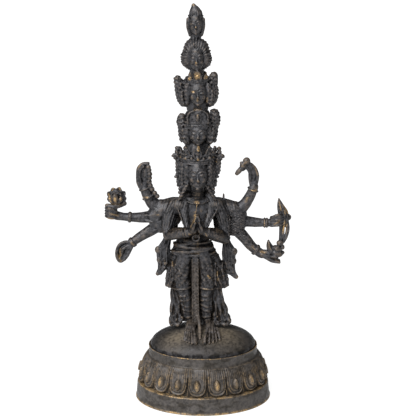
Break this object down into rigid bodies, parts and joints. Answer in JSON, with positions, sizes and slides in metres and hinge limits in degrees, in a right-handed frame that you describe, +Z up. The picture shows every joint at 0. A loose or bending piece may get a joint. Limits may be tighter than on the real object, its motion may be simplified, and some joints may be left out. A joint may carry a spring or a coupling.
{
  "type": "avalokiteshvara statue",
  "caption": "Standing bronze figure of Avalokiteshvara with stacked heads, fanned arms and joined hands on an oval lotus pedestal, dark patina rubbed golden.",
  "frame": {"origin": "centre of the pedestal's flat underside, on the surface the statue stands on", "axes": "+Z up, -Y towards the viewer in front of the main face, +X to that viewer's right"},
  "size_m": [0.1629, 0.0946, 0.3503],
  "materials": {
    "figure_bronze": "cast bronze with a dark brown-black patina, rubbed golden on crown leaves, jewels and edges",
    "pedestal_bronze": "cast bronze with a dark brown patina, dusty brown on the cushion and golden along rims"
  },
  "bodies": {
    "root": {"figure": "figure_bronze", "lotus_pedestal": "pedestal_bronze"}
  },
  "joints": []
}
